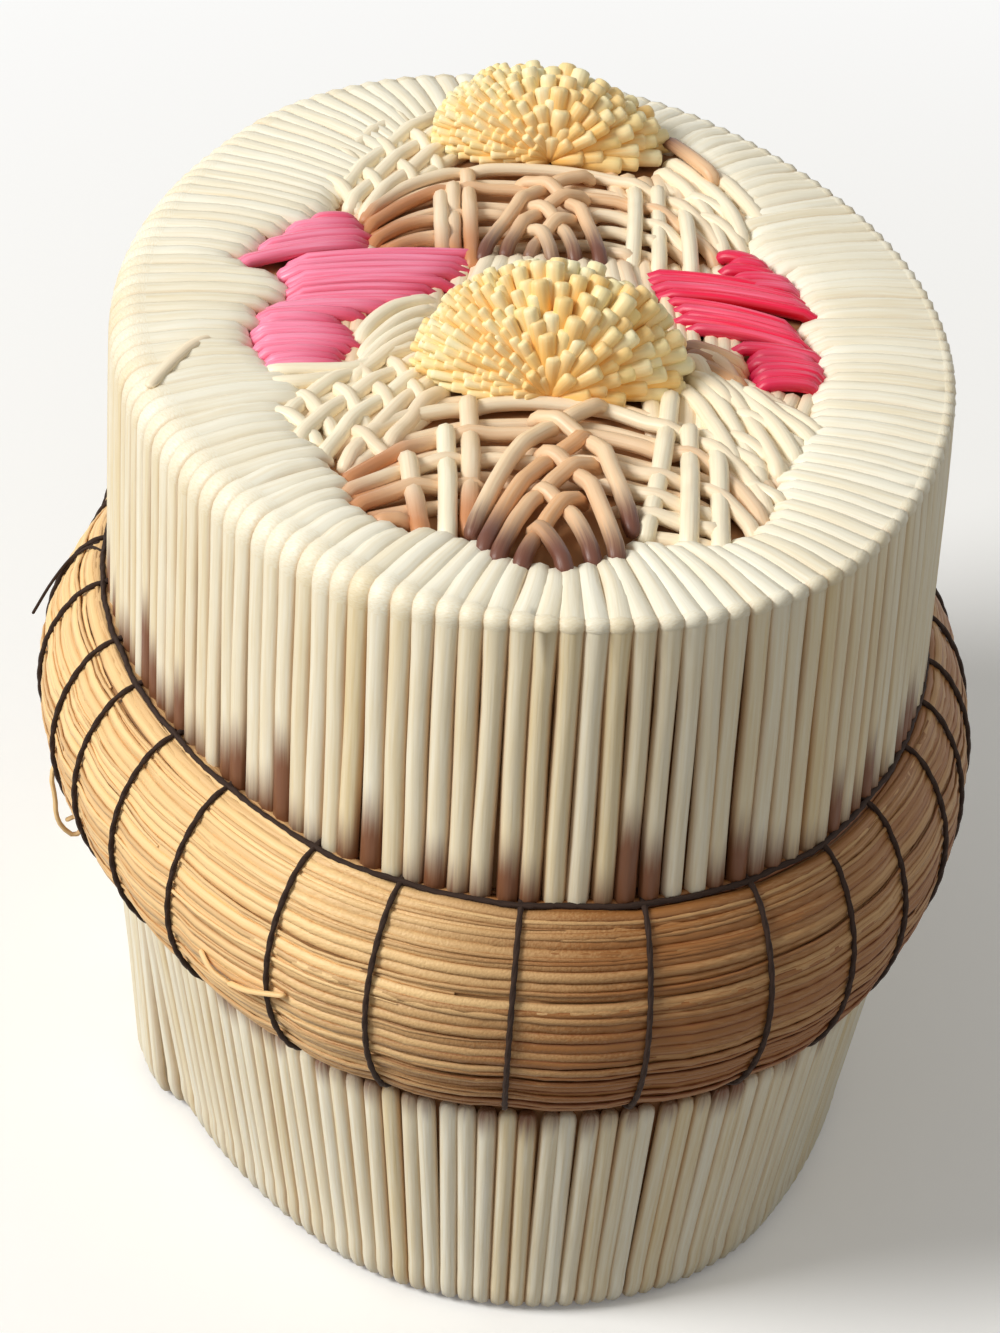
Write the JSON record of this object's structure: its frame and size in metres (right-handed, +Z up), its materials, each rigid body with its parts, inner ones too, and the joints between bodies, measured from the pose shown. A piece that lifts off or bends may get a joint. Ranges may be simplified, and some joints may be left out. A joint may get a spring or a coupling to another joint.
{
  "type": "quill box",
  "caption": "Oval birch bark box covered with laid quills, its lift-off lid edged with a stitched sweetgrass bundle.",
  "frame": {"origin": "centre of the box's footprint, on the face it stands on", "axes": "+Z up, the long axis of the oval along Y, the end that the picture shows nearest at -Y"},
  "size_m": [0.0816, 0.1124, 0.0793],
  "materials": {
    "birch_bark": "dry bark, satin inner face outwards",
    "white_quill": "natural cream quill, soft sheen",
    "tan_quill": "natural tan quill, soft sheen",
    "brown_quill": "natural brown quill, soft sheen",
    "golden_quill": "yellow dyed cut quill",
    "pink_quill": "pink dyed flattened quill, satin",
    "sweetgrass": "dried sweetgrass blades",
    "dark_thread": "near-black sewing thread"
  },
  "bodies": {
    "base": {"base_floor_panel": "birch_bark", "base_floor_liner": "birch_bark", "base_side_band": "birch_bark", "base_collar": "birch_bark", "collar_seam_thread": "dark_thread", "base_side_quills": "white_quill"},
    "lid": {"lid_side_band": "birch_bark", "lid_side_liner": "birch_bark", "lid_top_panel": "birch_bark", "lid_top_liner": "birch_bark", "lid_border_quills": "white_quill", "sweetgrass_bundle": "sweetgrass", "sweetgrass_stitches": "dark_thread", "pink_leaf_left": "pink_quill", "pink_leaf_right": "pink_quill", "brown_accent_quills": "brown_quill", "white_fill_quills": "white_quill", "front_diagonal_quills": "white_quill", "back_diagonal_quills": "white_quill", "front_lattice_arches": "tan_quill", "back_lattice_arches": "tan_quill", "front_lattice_uprights": "white_quill", "back_lattice_uprights": "white_quill", "front_lattice_chevrons": "brown_quill", "back_lattice_chevrons": "tan_quill", "front_tuft": "golden_quill", "back_tuft": "golden_quill"}
  },
  "joints": [
    {"name": "lid_lift", "type": "slide", "parent": "base", "child": "lid", "axis": [0, 0, 1], "range_m": [0, 0.04]}
  ]
}
